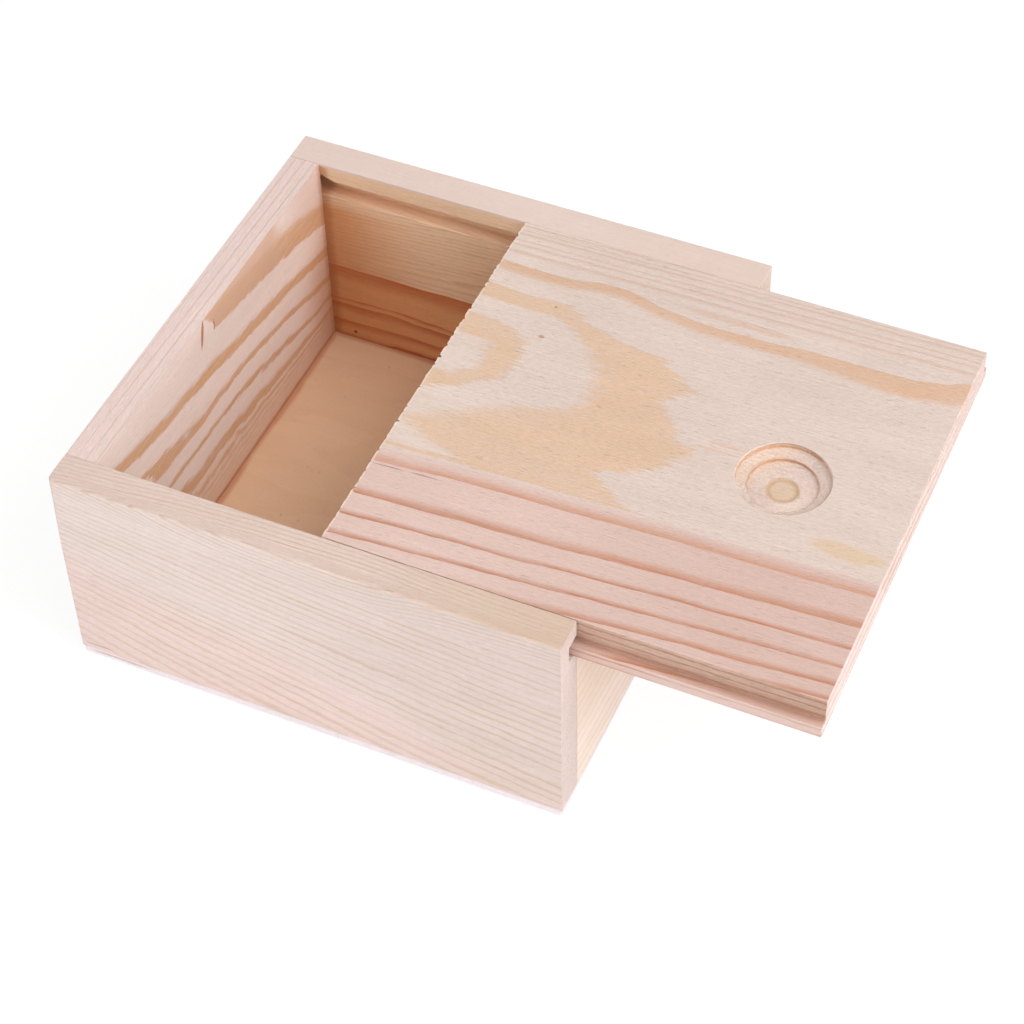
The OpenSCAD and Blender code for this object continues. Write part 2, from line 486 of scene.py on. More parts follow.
def lid_figure(w, x, y, z):
    """Flat-sawn board: nested ovals at the inner end and straight bands along both edges."""
    along = w.minus(x, LID_LOW.x)
    across = w.minus(LID_HIGH.y - TONGUE_REACH, y)
    depth = w.minus(LID_HIGH.z, z)
    wave = w.drift(along, 28, across, 14)
    coarse, fine = streaky(w, along, across, depth)

    # The ovals: how far along the lid the late wood of two rings starts and ends, across its width
    reach = w.sum(along, w.times(depth, 8.0), w.times(coarse, 11.0), w.times(fine, 8.0))
    late_1 = w.curve(across, [
        (15, -90), (22, -40), (29.5, -3), (33.4, 2), (35.6, 7), (38, 9), (43, 9), (47.5, 7), (50.2, 0),
        (55.5, -12), (58, -40), (64, -50), (74, -120)])
    edge_1 = w.curve(across, [
        (15, -80), (22, -14), (26, -6), (29.5, 0), (31, 10), (34, 15.5), (40, 16.5), (46, 15.5),
        (51.5, 8), (55.5, 0), (58, -28), (64, -36), (74, -110)])
    late_2 = w.curve(across, [
        (15, -60), (18.2, -5), (20.6, 8), (24.3, 18), (30, 25), (33.4, 29), (38.8, 32.4), (45.3, 33.4),
        (48.5, 31), (51.8, 21.6), (56, 10.8), (61.5, 2), (64, -4), (66, -2), (68, 2), (70, 8),
        (71.5, 15), (72.5, 25), (73, 10), (74, -60)])
    edge_2 = w.curve(across, [
        (15, -40), (18.6, 0), (19.1, 14), (20.3, 20.5), (24.3, 26), (26, 33), (27.3, 38), (27.4, 46),
        (29.7, 46), (31.3, 50.7), (34.7, 55), (36.7, 52), (39.7, 48.5), (43, 52.3), (46.4, 55.6),
        (49, 56), (50.2, 61), (52.9, 59.3), (57.2, 57.2), (59.9, 52.9), (63.9, 44.2), (66.9, 49.6),
        (69.6, 51.8), (71.4, 57.2), (73, 20), (74, -40)])
    beyond = w.times(w.most(w.minus(reach, edge_2), 0.0), 1 / 450)
    ovals = w.sum(w.times(w.ramp(w.minus(reach, late_1), -10, 0), 0.42),
                  w.times(share(w, reach, late_1, edge_1), 0.58),
                  w.times(share(w, reach, edge_1, late_2), 0.42),
                  w.times(share(w, reach, late_2, edge_2), 0.58), beyond)

    # The bands along the far edge and along the near edge
    tight = w.sum(w.times(coarse, 0.45), w.times(fine, 0.3))
    bend = w.curve(along, [
        (0, 0), (10, 1.1), (18, 0.8), (28, -0.5), (32, 0), (43, 2.2), (57, 3), (75, 1.9), (92, 1.9),
        (100, 0.8), (107, -1.2)], smooth=True)
    at_band = w.ramp(across, 9.0, 12.0)
    rise = w.times(along, w.ramp(across, 9.0, 12.0, 0.018, 0.0))
    far_place = w.sum(across, w.times(bend, -1, at_band), rise, w.times(depth, -0.8), tight,
                      w.times(wave, 0.8))
    far = w.curve(far_place, [
        (-6, 1.3), (0.3, 0.9), (1.7, 0.8), (2.8, 0.7), (5, 0.6), (6.4, 0.5), (8.5, 0.4), (11.6, 0.3),
        (15.4, 0.245), (19.5, 0.2), (22, 0.175), (24, 0.145), (27, 0.115), (29.5, 0.1), (42, 0)])
    climb = w.curve(across, [(66, 2.8), (72, 4.0), (80.4, 6.4), (87.2, 6.4), (92.2, 7.3), (101, 8.0)])
    climb = w.times(climb, w.times(along, 1 / 107))
    near_place = w.sum(across, climb, w.times(depth, 0.8), tight, w.times(wave, 1.5))
    near = w.curve(near_place, [
        (43, 0), (55.5, 0.1), (68, 0.12), (71.8, 0.14), (73.0, 0.2), (74.1, 0.235), (78.0, 0.3),
        (84, 0.345), (88.2, 0.4), (92, 0.45), (94.1, 0.5), (97.6, 0.55), (99.7, 0.6), (102, 0.645),
        (105, 0.7), (113, 0.9)])
    edges = w.times(w.most(far, near), 10)
    ring = w.most(ovals, edges)

    pink = w.ramp(near_place, 72.6, 75.1)
    far_edge = w.fall(far_place, 10.5, 11.8)
    early = w.mix(pink, w.mix(w.ramp(along, 0, 30), colour(230, 209, 197), colour(225, 204, 193)),
                  w.mix(w.ramp(along, 20, 90), colour(226, 196, 185), colour(216, 184, 172)))
    in_band = w.fall(far_place, 16.0, 21.0)
    late = w.mix(in_band, colour(226, 191, 161), colour(221, 180, 150))
    late = w.mix(far_edge, late, colour(215, 180, 158))
    late = w.mix(pink, late, w.mix(w.ramp(near_place, 79, 91), colour(208, 151, 121),
                                   colour(193, 127, 94)))
    strength = w.times(w.line(far_edge, -0.35, 1.0), w.line(wave, 0.9, 0.95, clamp=True))
    widening = w.times(in_band, w.ramp(across, 11.5, 13), w.ramp(along, 55, 105, 0.0, 0.42))
    late_start = w.ramp(near_place, 73.0, 80.5, 0.42, 0.58)
    late_start = w.sum(late_start, w.times(widening, -1), w.times(far_edge, 0.15))
    late_full = w.sum(w.ramp(near_place, 73.0, 75.0, 0.53, 1.0), w.times(widening, -1),
                      w.times(far_edge, 0.3), w.times(w.minus(in_band, far_edge), 0.22))

    # The rebates cut along both sides are rough. Their walls take browner wood, partly the rough cut and
    # partly painted shade, and the painted shade is darkest in their corners
    side = facing(w, 1)
    wall = w.times(side, w.math("LESS_THAN", depth, LID_HIGH.z - LID_LOW.z - TONGUE_THICKNESS))
    past_edge = w.most(w.times(across, -1), w.minus(across, LID_HIGH.y - LID_LOW.y - 2 * TONGUE_REACH))
    # The tongue's top beside each wall, fading from the wall outwards: it carries the corner's painted
    # shade and the rough crumbs
    shelf = w.times(facing(w, 2), w.math("GREATER_THAN", depth, 3.0),
                    w.math("GREATER_THAN", past_edge, 0.05), w.ramp(past_edge, 0.2, 2.2, 1.0, 0.2))
    rough_ring = w.sum(w.times(depth, 1 / 1.9), w.times(along, 0.004), w.times(coarse, 0.8))
    ring = w.sum(w.times(ring, w.inverse(side)), w.times(rough_ring, side))
    # Painted shade of the rebates' inside corners: on the walls, more of it lower down, and on the shelf
    # beside them
    corner = w.most(w.times(wall, w.ramp(depth, 2.5, 6.0, 0.15, 1.0)), shelf)
    outer_end = w.times(facing(w, 0), w.math("GREATER_THAN", along, 100.0))
    end_ring = w.sum(w.times(depth, 1 / 3.3), w.times(across, 0.009), w.times(wave, 1.2), 0.35)
    ring = w.sum(w.times(ring, w.inverse(outer_end)), w.times(end_ring, outer_end))
    # Browner wood on the rebate walls, partly the rough cut and partly painted shade
    early = w.mix(wall, early, colour(206, 172, 154))
    early = w.mix(outer_end, early, w.mix(w.ramp(across, 0, 30), colour(224, 200, 192),
                                          colour(232, 212, 206)))
    late = w.mix(wall, late, colour(166, 120, 98))
    late = w.mix(outer_end, late, w.mix(w.ramp(across, 20, 80), colour(224, 194, 180),
                                        colour(212, 172, 154)))

    # The finger recess: tan walls, partly burnished end grain and partly painted shade, painted light on
    # the ledge where the right-hand wall's shadow falls, and a rough yellow button in the middle
    from_middle_x = w.minus(along, LID_HIGH.x - RECESS_FROM_OUTER_END - LID_LOW.x)
    from_middle_y = w.minus(across, (LID_HIGH.y - LID_LOW.y) / 2 - TONGUE_REACH)
    radius = w.distance(from_middle_x, from_middle_y)
    off_wall = w.least(w.apart(radius, RECESS_RADIUS), w.apart(radius, STEP_RADIUS))
    in_recess = w.times(w.ramp(depth, 0.1, 0.3), w.math("LESS_THAN", radius, RECESS_RADIUS + 0.4))
    away = w.sum(from_middle_x, w.times(from_middle_y, 0.8))
    # The walls' tan, partly burnished end grain and partly painted shade. There is less of it to the upper
    # right, as painted light on the wall that faces away from the lamps
    turned = w.times(in_recess, w.ramp(off_wall, 0.1, 0.35, 0.7, 0.0),
                     w.ramp(w.minus(from_middle_x, from_middle_y), 3.0, 10.0, 1.0, 0.4))
    # The walls' tan is painted lighter to the right, as painted light on the wall that stands in its own
    # shade
    wall_tan_painted_lighter_right = w.mix(w.ramp(from_middle_x, 0, 7), colour(224, 178, 146), colour(255, 208, 176))
    rim = w.times(in_recess, w.ramp(w.apart(radius, CENTRE_RADIUS - 0.4), 0.1, 0.9, 0.6, 0.0))
    # Painted light: the ledge and walls are lifted towards near-white on the side where the right-hand
    # wall's shadow falls
    pale = w.times(in_recess, w.ramp(away, -2.0, 9.0), w.ramp(off_wall, 0.1, 0.3, 0.3, 1.0))
    crumbs = w.drift(along, 0.6, across, 0.45, depth, 1, detail=2, roughness=0.7)
    button = w.times(in_recess, w.fall(w.sum(radius, w.times(crumbs, 1.6)), CENTRE_RADIUS - 0.4,
                                       CENTRE_RADIUS + 0.1))
    rough = w.most(in_recess, w.most(wall, shelf))
    dark_crumb = w.times(rough, w.ramp(crumbs, 0.06, 0.2, 0.0, 0.5))
    light_crumb = w.times(in_recess, w.ramp(crumbs, -0.04, -0.2, 0.0, 0.35))

    # Painted highlight along the top edge of the sawn inner end, frayed along the fibres
    sawn = w.times(w.fall(w.sum(along, w.times(fine, 1.5)), 0.35, 0.8), w.fall(depth, 0.3, 0.8))
    knot = spot(w, along, across, (18.1, 31.6), 0.55, 0.8)
    fleck = spot(w, along, across, (17.4, 22.0), 0.25, 0.4)
    stain = spot(w, along, w.sum(across, w.times(coarse, 5)), (99.0, 64.5), 2.2, 9.0)
    torn_1 = spot(w, along, w.sum(across, w.times(coarse, 1.5)), (66.5, 46.4), 0.45, 5.0)
    torn_2 = spot(w, along, w.sum(across, w.times(coarse, 1.5)), (64.5, 48.6), 0.4, 5.5)
    dash = spot(w, along, w.sum(across, w.times(along, 0.06)), (9.0, 79.0), 0.22, 9.0)
    return {
        "Place": w.vector(along, across, depth), "Ring": ring, "Early wood": early, "Late wood": late,
        "Late start": late_start, "Late full": late_full,
        "Strength": strength, "End grain": facing(w, 0),
        "Raggedness": w.sum(w.most(in_recess, wall), w.ramp(pink, 0.0, 1.0, 1.3, 1.1)),
        "Marks": [
            (w.times(w.minus(side, wall), w.ramp(along, 64, 78)), 0.35, colour(240, 220, 214)),
            # A painted highlight on the sawn end's top edge, then the knot
            (sawn, 0.75, colour(246, 226, 208)), (knot, 0.8, colour(194, 150, 108)),
            (fleck, 1.0, colour(180, 140, 110)), (stain, 0.8, colour(222, 194, 162)),
            (w.most(torn_1, torn_2), 0.6, colour(226, 190, 164)),
            (w.times(dash, w.ramp(coarse, -0.08, 0.02)), 0.7, colour(158, 120, 112)),
            # Painted shade in the rebates' corners
            (w.times(corner, w.line(shelf, 0.3, 0.55)), 1.0, colour(174, 126, 102)),
            (w.times(in_recess, w.ramp(away, -3.0, -9.0, 0.0, 0.4)), 1.0, colour(224, 194, 168)),
            # Painted light where the wall's shadow falls, the crumbs, then the walls' tan with its painted
            # shade and light
            (pale, 1.0, colour(255, 232, 217)), (dark_crumb, 1.0, colour(206, 168, 148)),
            (light_crumb, 1.0, colour(250, 238, 230)), (turned, 1.0, wall_tan_painted_lighter_right),
            (w.times(button, w.line(crumbs, -2.0, 0.5, clamp=True)), 1.0, colour(222, 194, 154)),
            (rim, 1.0, colour(208, 166, 128))],
    }


def front_figure(w, x, y, z):
    """Quarter-sawn board: fine lines that fan out to the right, and a closer strip at the top."""
    along = w.minus(x, FRONT_LOW.x)
    down = w.minus(FRONT_HIGH.z, z)
    inward = w.minus(y, FRONT_LOW.y)
    wave = w.drift(along, 35, down, 14, inward, 14)
    jitter = w.drift(along, 6, down, 0.8, inward, 0.8, detail=3, roughness=0.65)
    shaken = w.sum(w.times(wave, 1.3), w.times(jitter, 0.55))
    run = w.minus(along, w.times(along, along, 0.0017))
    level = w.math("DIVIDE", w.minus(down, w.times(run, 0.1)), w.line(run, 0.0058, 1.0))
    spacing = w.drift(along, 70, level, 3.2, inward, 8)
    fan = w.math("DIVIDE", w.sum(level, w.times(level, level, -0.006), w.times(inward, 1.5),
                                 w.times(spacing, 1.3), shaken), 1.35)
    arch = w.curve(along, [
        (0, 0), (16, 3.3), (33, 8.2), (51, 10.6), (69, 11.3), (86, 8.4), (101, 7.0),
        (115, 6.4)], smooth=True)
    strip = w.sum(w.times(down, 1.1), inward, w.times(arch, w.ramp(inward, 0.5, 3.0, -1.0, -0.35)),
                  w.times(shaken, 0.6))
    strip = w.math("DIVIDE", strip, w.ramp(inward, 0.0, 1.0, 1.3, 1.1))
    border = w.curve(along, [(0, 5.0), (35, 5.8), (75, 6.5), (115, 6.3)])
    above = w.math("LESS_THAN", down, border)
    ring = w.sum(w.times(strip, above), w.times(fan, w.inverse(above)))
    from_border = w.apart(down, border)
    uneven = w.drift(along, 45, w.math("FLOOR", ring), 1, detail=1)
    strength = w.times(w.line(uneven, 2.4, 0.7, clamp=True),
                       w.times(w.ramp(from_border, 0.3, 1.8, 0.4, 0.85),
                               w.ramp(along, 5, 60, 0.75, 1.0)))
    pink = w.times(w.ramp(w.sum(level, w.times(wave, 12)), 17, 30), w.ramp(along, 60, 115, 1.0, 0.45))
    top_face = w.ramp(down, 0.4, 0.1)
    # The early wood is painted darker towards the right end, as painted shade where the light falls off
    early = w.mix(w.ramp(along, 20, 105), colour(235, 218, 211), colour(225, 206, 199))
    early = w.mix(pink, early, w.mix(w.ramp(along, 60, 105), colour(237, 213, 206),
                                     colour(229, 206, 198)))
    early = w.mix(top_face, early, colour(227, 205, 193))
    gold = w.ramp(w.drift(along, 40, w.math("FLOOR", ring), 1, 5.0, 1, detail=0), 0.08, 0.22)
    late = w.mix(gold, colour(208, 183, 156), colour(206, 178, 130))
    end = facing(w, 0)
    # The end face is painted lighter towards its bottom, as painted light
    early = w.mix(end, early, w.mix(w.ramp(down, 10, 45), colour(221, 203, 196), colour(231, 214, 208)))
    late = w.mix(end, late, colour(220, 199, 190))
    late = w.mix(top_face, late, colour(204, 172, 150))
    return {
        "Place": w.vector(along, down, inward), "Ring": ring, "Early wood": early, "Late wood": late,
        "Late start": 0.5, "Late full": 0.9, "Strength": strength, "End grain": end,
        "Raggedness": w.ramp(end, 0.0, 1.0, 1.1, 1.6),
        "Marks": [
            (spot(w, along, down, (4.6, 52.0), 0.25, 4.0), 0.6, colour(196, 140, 116)),
            (w.times(top_face, w.ramp(along, 60, 115)), 0.7, colour(214, 184, 160))],
    }


def rear_figure(w, x, y, z):
    """Fine plain wood above, then one sharp ring edge with broad late wood below it."""
    along = w.minus(x, REAR_LOW.x)
    down = w.minus(REAR_HIGH.z, z)
    inward = w.minus(REAR_HIGH.y, y)
    wave = w.drift(along, 18, down, 5, inward, 8)
    coarse, fine = streaky(w, along, down, inward)
    below = w.ramp(down, 33, 42)
    bend = w.times(wave, w.line(below, 2.4, 0.8))
    inner = w.times(w.minus(SIDE_THICKNESS, inward), 0.8)
    lift = w.times(along, w.ramp(down, 22, 30, 0.075, 0.0))
    place = w.sum(down, inner, lift, bend, w.times(coarse, 0.9), w.times(fine, 0.4))
    rings = w.curve(place, [
        (0, 0), (30.5, 0.84375), (41, 0.875), (43, 0.90625), (48, 0.9375), (53, 0.96875), (64, 1.0)])
    ring = w.times(rings, -32)
    uneven = w.drift(along, 30, w.math("FLOOR", ring), 1, detail=1)
    inside = w.times(w.math("GREATER_THAN", inward, 4.1), w.ramp(down, 0.3, 1.0),
                     w.inverse(facing(w, 0)))
    lines = w.times(w.ramp(down, 3, 10, 0.05, 0.5), w.line(uneven, 3.0, 0.7, clamp=True))
    strength = w.mix(w.ramp(down, 30.0, 31.0), w.vector(lines, lines, lines), (0.95, 0.95, 0.95, 1))
    lower = w.ramp(place, 30.3, 30.7)
    # The inner face takes warmer, browner wood than the outer face. This is painted warm shade of the box's
    # inside, laid over the lower rings' broad late wood
    outside_wood = w.mix(w.ramp(along, 60, 115), colour(231, 208, 197), colour(227, 204, 191))
    early = w.mix(inside, outside_wood, w.mix(lower, colour(239, 206, 174), colour(230, 171, 124)))
    late = w.mix(lower, colour(198, 144, 104), colour(194, 108, 64))
    late = w.mix(inside, colour(218, 184, 160), late)
    groove = w.times(inside, w.math("LESS_THAN", inward, SIDE_THICKNESS - 0.2),
                     w.fall(w.sum(down, w.times(coarse, 1.5)), 9.2, 10.6))
    pin_tip = spot(w, along, down, (13.2, 51.4), 0.5, 0.5)
    joint = w.most(w.fall(w.sum(along, w.times(coarse, 2)), 8.2, 10.5),
                   w.ramp(w.sum(down, w.times(coarse, 2)), 51.5, 53.5))
    return {
        "Place": w.vector(along, down, inward), "Ring": ring, "Early wood": early, "Late wood": late,
        "Late start": 0.4, "Late full": 0.97, "Strength": strength, "End grain": facing(w, 0),
        "Raggedness": w.ramp(inside, 0.0, 1.0, 0.55, 1.0),
        "Marks": [
            # Painted shade: darker orange on the inner face towards the corner at the tall end
            (w.times(inside, w.ramp(down, 9, 14), w.ramp(along, 8, 36, 0.72, 0.0),
                     w.line(lower, -0.7, 1.0)), 1.0, colour(216, 146, 86)),
            (w.times(lower, inside, w.ramp(place, 31.5, 36, 0.1, 0.0)), 1.0, colour(200, 116, 74)),
            # Painted light: a warm, brighter tint over the lip and the shaded groove, strongest by the tall
            # end
            (w.times(groove, w.ramp(along, 5, 40, 0.7, 0.3)), 1.0, colour(240, 192, 156)),
            (w.times(joint, inside), 0.5, colour(180, 110, 66)),
            (w.times(pin_tip, inside), 0.85, colour(70, 48, 36))],
    }


def tall_end_figure(w, x, y, z):
    """Flat-sawn board: slanting late wood with jagged lower edges, fine lines low down."""
    along = w.minus(TALL_HIGH.y, y)
    down = w.minus(TALL_HIGH.z, z)
    outward = w.minus(TALL_HIGH.x, x)
    wave = w.drift(along, 16, down, 10, outward, 5)
    coarse, fine = streaky(w, w.times(along, 2.5), down, outward)
    steep = w.curve(along, [
        (0, -3), (10, 0.8), (20, 3.4), (40, 7), (55, 10), (70, 12), (80, 13.5), (90, 15.5),
        (102, 19)], smooth=True)
    gentle = w.curve(along, [
        (0, -1.2), (7, 0.8), (15, 3), (30, 6), (40, 8), (55, 8.8), (70, 9.2), (102, 11)], smooth=True)
    lower_down = w.ramp(down, 20, 26)
    slope = w.sum(w.times(steep, w.inverse(lower_down)), w.times(gentle, lower_down))
    slope = w.times(slope, w.ramp(down, 31, 50, 1.0, 0.05))
    place = w.sum(down, slope, w.times(outward, 7), w.times(wave, 2.0),
                  w.times(coarse, w.ramp(down, 8, 40, 3.2, 1.4)), w.times(fine, 0.9))
    rings = w.curve(place, [
        (-8, 0), (8.5, 0.045), (15.8, 0.1), (23.9, 0.145), (27.4, 0.2), (33.4, 0.245), (35.3, 0.3),
        (40.0, 0.345), (41.3, 0.4), (44.2, 0.445), (45.6, 0.5), (46.9, 0.6), (48.1, 0.7), (49.5, 0.8),
        (50.6, 0.9), (52, 1.0)])
    deeper = w.math("DIVIDE", w.most(w.minus(place, 52), 0.0), 1.4)
    ring = w.sum(w.times(rings, 10), deeper)
    on_top = w.math("LESS_THAN", down, 0.3)
    thin_ring = w.sum(w.times(outward, 1 / 2.2), w.times(along, -0.0064), w.times(coarse, 0.25), 0.3)
    ring = w.sum(w.times(ring, w.inverse(on_top)), w.times(thin_ring, on_top))
    strength = w.times(w.ramp(place, 45, 49, 1.0, 0.4), w.inverse(w.times(on_top, 0.45)))
    wedge_end = w.ramp(w.sum(along, w.times(w.least(down, 4.0), 0.9), w.times(coarse, 1.5)), 54.6, 56.4)
    first_band = w.times(w.fall(place, 15.6, 17.0), wedge_end)
    strength = w.times(strength, w.inverse(first_band), w.ramp(outward, 6.8, 7.3, 1.0, 0.6))
    wedge = w.times(w.fall(place, 15.6, 15.9), w.inverse(wedge_end),
                    w.ramp(w.sum(along, w.times(coarse, 3)), 19.0, 24.5))
    year = w.math("FRACT", ring)
    brown = w.times(w.fall(year, 0.45, 0.6), w.ramp(place, 17, 20))
    late = w.mix(brown, colour(223, 172, 128), colour(204, 148, 116))
    late = w.mix(on_top, late, colour(214, 172, 146))
    scratch = spot(w, w.minus(along, w.times(down, 0.25)), down, (56.2, 3.4), 3.9, 0.6)
    nick = spot(w, w.sum(along, w.times(coarse, 1.5)), down, (52.0, 4.6), 1.7, 0.35)
    inner_face = w.fall(outward, 0.05, 0.4)
    # Painted shade on the inner face: orange-brown towards its bottom and towards the far corner by the
    # rear board
    foot = w.most(w.times(w.ramp(down, 36, 50), 0.38),
                  w.times(w.fall(along, 0, 18), w.ramp(down, 8, 36), 0.6))
    foot_shade_colour = w.mix(w.ramp(along, 4, 20), colour(208, 144, 96), colour(234, 188, 146))
    joint = w.times(w.most(w.ramp(w.sum(down, w.times(coarse, 2)), 51.5, 53.5),
                           w.ramp(w.sum(along, w.times(coarse, 2)), 0.4, 2.2, 0.6, 0.0)), 0.8)
    return {
        "Place": w.vector(along, down, outward), "Ring": ring,
        "Early wood": w.mix(on_top, colour(247, 227, 218), colour(234, 211, 203)),
        "Late wood": late, "Late start": w.sum(0.38, w.times(on_top, 0.4)),
        "Late full": w.sum(0.6, w.times(on_top, 0.3)), "Strength": strength,
        "End grain": facing(w, 1),
        "Marks": [
            (w.times(wedge, inner_face), 0.75, colour(226, 186, 160)),
            # Painted shade at the foot and far corner of the inner face
            (w.times(foot, inner_face), 1.0, foot_shade_colour),
            (w.times(inner_face, w.fall(along, 6, 20), w.ramp(down, 4, 16, 0.4, 0.0)), 1.0,
             colour(212, 172, 154)),
            (w.times(joint, inner_face), 1.0, colour(198, 130, 90)),
            (w.times(scratch, inner_face), 1.0, colour(196, 142, 100)),
            (w.times(nick, inner_face), 1.0, colour(196, 146, 110))],
    }


def low_end_figure(w, x, y, z):
    """Plain peach-coloured board with faint fine lines."""
    along = w.minus(LOW_HIGH.y, y)
    down = w.minus(LOW_HIGH.z, z)
    outward = w.minus(LOW_HIGH.x, x)
    wave = w.drift(along, 30, down, 10, outward, 10)
    place = w.sum(down, w.times(along, 0.05), w.times(outward, 2.2), w.times(wave, 5))
    return {
        "Place": w.vector(along, down, outward), "Ring": w.math("DIVIDE", place, 3.1),
        "Early wood": w.mix(w.ramp(down, 15, 40), colour(243, 222, 206), colour(249, 234, 222)),
        "Late wood": colour(234, 204, 178), "Late start": 0.4,
        "Late full": 0.95, "Strength": 0.55, "End grain": facing(w, 1),
    }


def sheet_figure(w, x, y, z):
    """Thin smooth ply: a broad, faint peeled figure, with pale layers at its edges."""
    wave = w.drift(x, 60, y, 18, detail=3)
    layer = w.math("DIVIDE", w.minus(z, SHEET_LOW.z), (SHEET_HIGH.z - SHEET_LOW.z) / 3)
    edge = w.most(facing(w, 0), facing(w, 1))
    ply = w.math("COMPARE", layer, 1.5, 0.5)
    glue = w.most(w.math("COMPARE", layer, 1.0, 0.07), w.math("COMPARE", layer, 2.0, 0.07))
    specks = w.ramp(w.drift(x, 1.1, y, 2.2, detail=0), 0.3, 0.36)
    from_ends = w.least(w.minus(x, TALL_HIGH.x), w.minus(REAR_LOW.y, y))
    joint = w.times(w.ramp(w.sum(from_ends, w.times(wave, 3)), 0.3, 1.8, 0.65, 0.0), w.inverse(edge))
    early = w.mix(edge, colour(240, 204, 170), colour(250, 242, 246))
    return {
        "Place": w.vector(x, y, w.times(z, 2)), "Ring": w.times(wave, 6),
        "Early wood": early, "Late wood": w.mix(edge, colour(232, 192, 156), colour(244, 234, 238)),
        "Late start": 0.2, "Late full": 0.9, "Strength": 0.35, "End grain": w.times(edge, ply),
        "Raggedness": 0.5,
        "Marks": [
            (w.times(edge, glue), 0.6, colour(205, 180, 176)),
            (spot(w, x, z, (-48.0, 1.3), 0.3, 8.0), 0.6, colour(196, 150, 136)),
            (joint, 1.0, colour(206, 128, 88)), (specks, 0.25, colour(180, 130, 95))],
    }


# ---------------------------------------------------------------- the pieces


def side_outline(outer_y, inner_y):
    """Outline of a side board in the YZ plane, with the groove on its inner side."""
    wall_y = inner_y + math.copysign(GROOVE_DEPTH, outer_y - inner_y)
    low, top = FRONT_LOW.z, FRONT_HIGH.z
    roof = top - LIP_THICKNESS
    floor = roof - GROOVE_HEIGHT
    return [(outer_y, low), (inner_y, low), (inner_y, floor), (wall_y, floor), (wall_y, roof),
            (inner_y, roof), (inner_y, top), (outer_y, top)]


def wear_less_below(bm):
    """Makes the round of the worn corner smaller from the top of the board down."""
    corner = FRONT_LOW.xy
    for v in bm.verts:
        offset = v.co.xy - corner
        if max(offset) < WORN_CORNER + HAIR:
            left = WORN_LEAST + (1 - WORN_LEAST) * max(0.0, 1 - (BOX_TOP - v.co.z) / WORN_DOWN_TO)
            v.co.x = corner.x + offset.x * left
            v.co.y = corner.y + offset.y * left


def make_front_board(material):
    bm = drawn_out(side_outline(FRONT_LOW.y, FRONT_HIGH.y), FRONT_LOW.x, FRONT_HIGH.x)
    outer = FRONT_LOW.y
    at_worn_corner = lambda low, high: high.x < FRONT_LOW.x + HAIR and high.y < outer + HAIR
    ease(bm, WORN_CORNER, at_worn_corner, segments=6)
    cut_across(bm, 2, [BOX_TOP - down for down in (WORN_DOWN_TO, 12, 6, 2)])
    wear_less_below(bm)
    ease(bm, BOARD_EASING, lambda low, high: low.z > BOX_TOP - 0.1 and high.y < FRONT_HIGH.y - 1)
    ease(bm, FINE_EASING)
    cut_across(bm, 0, steps(FRONT_LOW.x, FRONT_HIGH.x, CUTS_APART))
    roughen(bm, FRONT_LOW, FRONT_HIGH, SIDE_WAVER, seed=1.0)
    end = FRONT_HIGH.x - 0.3
    inner = FRONT_HIGH.y
    roof = BOX_TOP - LIP_THICKNESS
    wall = inner - GROOVE_DEPTH
    splinter(bm, (end, inner - 0.7, roof + 0.3), (end + 0.15, inner - 0.1, roof - 0.7), 0.35)
    splinter(bm, (end, inner - 2.3, roof + 0.3), (end + 0.2, inner - 1.6, roof - 0.6), 0.3)
    splinter(bm, (end, wall + 0.4, roof + 0.3), (end + 0.2, wall + 1.3, roof - 0.5), 0.4)
    splinter(bm, (end - 0.4, wall - 0.3, roof - 3.9), (end + 0.1, wall + 0.5, roof - 3.2), 0.3)
    return add_piece("front_board", bm, material, "box", "front_side_board")


def make_rear_board(material):
    bm = drawn_out(side_outline(REAR_HIGH.y, REAR_LOW.y), REAR_LOW.x, REAR_HIGH.x)
    chip_start = TALL_HIGH.x
    chip_end = chip_start + CHIP_LENGTH
    ease(bm, BOARD_EASING, lambda low, high: low.z > BOX_TOP - 0.1 and low.y > REAR_LOW.y + 1)
    ease(bm, FINE_EASING, lambda low, high: high.y > REAR_LOW.y + HAIR or low.z < BOX_TOP - HAIR)
    cut_across(bm, 0, [chip_start - 0.5, chip_start, chip_end])
    cut_across(bm, 0, steps(chip_end, REAR_HIGH.x, CUTS_APART))
    inner = REAR_LOW.y
    roof = BOX_TOP - LIP_THICKNESS
    for v in bm.verts:
        under_lip = abs(v.co.z - roof) < 0.5 and v.co.y < inner + 1.0
        if under_lip and abs(v.co.x - chip_start) < HAIR:
            v.co.z += CHIP_HEIGHT
    roughen(bm, REAR_LOW, REAR_HIGH, SIDE_WAVER, seed=2.0)
    splinter(bm, (chip_end - 1.2, inner + 0.3, roof + 1.3), (chip_end + 0.3, inner + 0.1, roof - 0.3), 0.3)
    splinter(bm, (chip_end - 0.9, inner + 0.5, roof + 0.8), (chip_end + 1.2, inner + 0.4, roof - 0.5), 0.25)
    return add_piece("rear_board", bm, material, "box", "rear_side_board")


def make_end_board(name, material, seed, settled):
    """An end board, lower than its node by as much as it has settled."""
    low, high = node_box(name + "_board")
    high = high - Vector((0, 0, settled))
    bm = block(low, high)
    ease(bm, END_BOARD_EASING)
    cut_across(bm, 1, steps(low.y, high.y, CUTS_APART))
    roughen(bm, low, high, END_WAVER, seed)
    return add_piece(name, bm, material, "box", name + "_board")


def make_bottom_sheet(material):
    bm = block(SHEET_LOW, SHEET_HIGH)
    ease(bm, SHEET_EASING)
    return add_piece("bottom_sheet", bm, material, "box", "bottom_panel")


